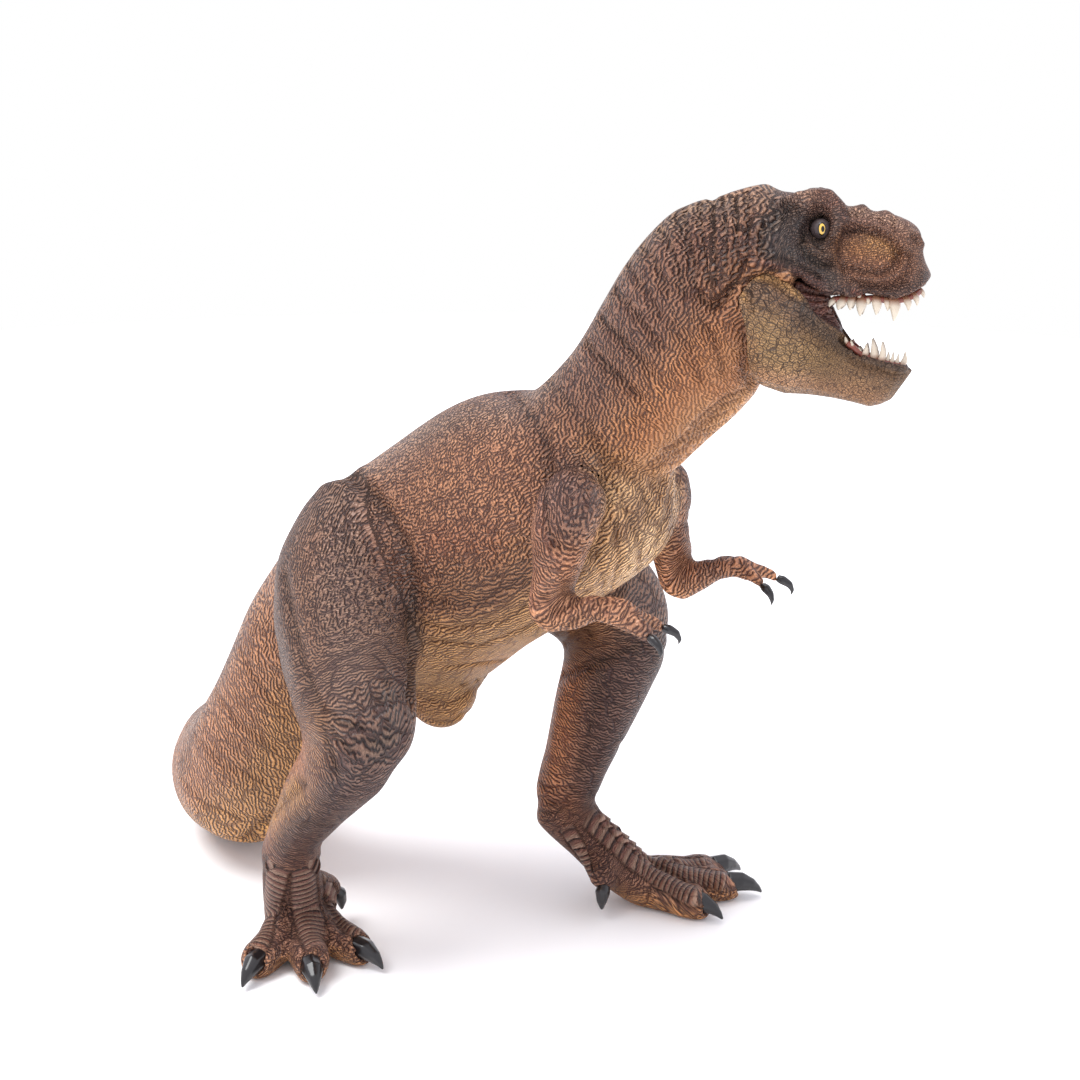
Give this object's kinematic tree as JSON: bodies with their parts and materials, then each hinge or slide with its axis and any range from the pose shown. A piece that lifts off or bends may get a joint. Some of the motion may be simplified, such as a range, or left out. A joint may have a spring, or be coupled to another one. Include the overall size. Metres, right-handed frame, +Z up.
{
  "type": "toy dinosaur figure",
  "caption": "Toy dinosaur figure standing on its hind legs and tail, with a heavy toothed head, short clawed arms and a lower jaw that opens and closes.",
  "frame": {"origin": "middle of the footprint of the whole figure, on the floor", "axes": "+X from the tail tip towards the head, +Y to the animal's left, +Z up"},
  "size_m": [0.2276, 0.1144, 0.1572],
  "materials": {
    "hide": "hand-painted satin brown, pale belly",
    "neck_hide": "hand-painted satin brown, tan throat",
    "foot_hide": "hand-painted satin dark brown",
    "face_hide": "hand-painted satin dark grey-brown",
    "jaw_hide": "hand-painted satin olive tan",
    "mouth_skin": "satin maroon",
    "claw": "gloss black",
    "tooth": "gloss cream",
    "eye": "gloss amber with a black pupil",
    "steel": "plain"
  },
  "bodies": {
    "figure": {"torso": "hide", "tail": "hide", "neck": "neck_hide", "right_foot": "foot_hide", "right_leg": "hide", "right_inner_toe_claw": "claw", "right_middle_toe_claw": "claw", "right_outer_toe_claw": "claw", "right_heel_claw": "claw", "left_foot": "foot_hide", "left_leg": "hide", "left_inner_toe_claw": "claw", "left_middle_toe_claw": "claw", "left_outer_toe_claw": "claw", "left_heel_claw": "claw", "right_arm": "hide", "right_inner_finger_claw": "claw", "right_outer_finger_claw": "claw", "left_arm": "hide", "left_inner_finger_claw": "claw", "left_outer_finger_claw": "claw", "head": "face_hide", "mouth_lining": "mouth_skin", "upper_teeth": "tooth", "right_eye": "eye", "left_eye": "eye", "jaw_pin": "steel"},
    "jaw": {"lower_jaw": "jaw_hide", "tongue": "mouth_skin", "lower_teeth": "tooth"}
  },
  "joints": [
    {"name": "jaw_hinge", "type": "hinge", "parent": "figure", "child": "jaw", "pos_m": [0.08989, -0.00036, 0.13744], "axis": [0.4565, -0.8759, 0.1562], "range_deg": [0, 18]}
  ]
}
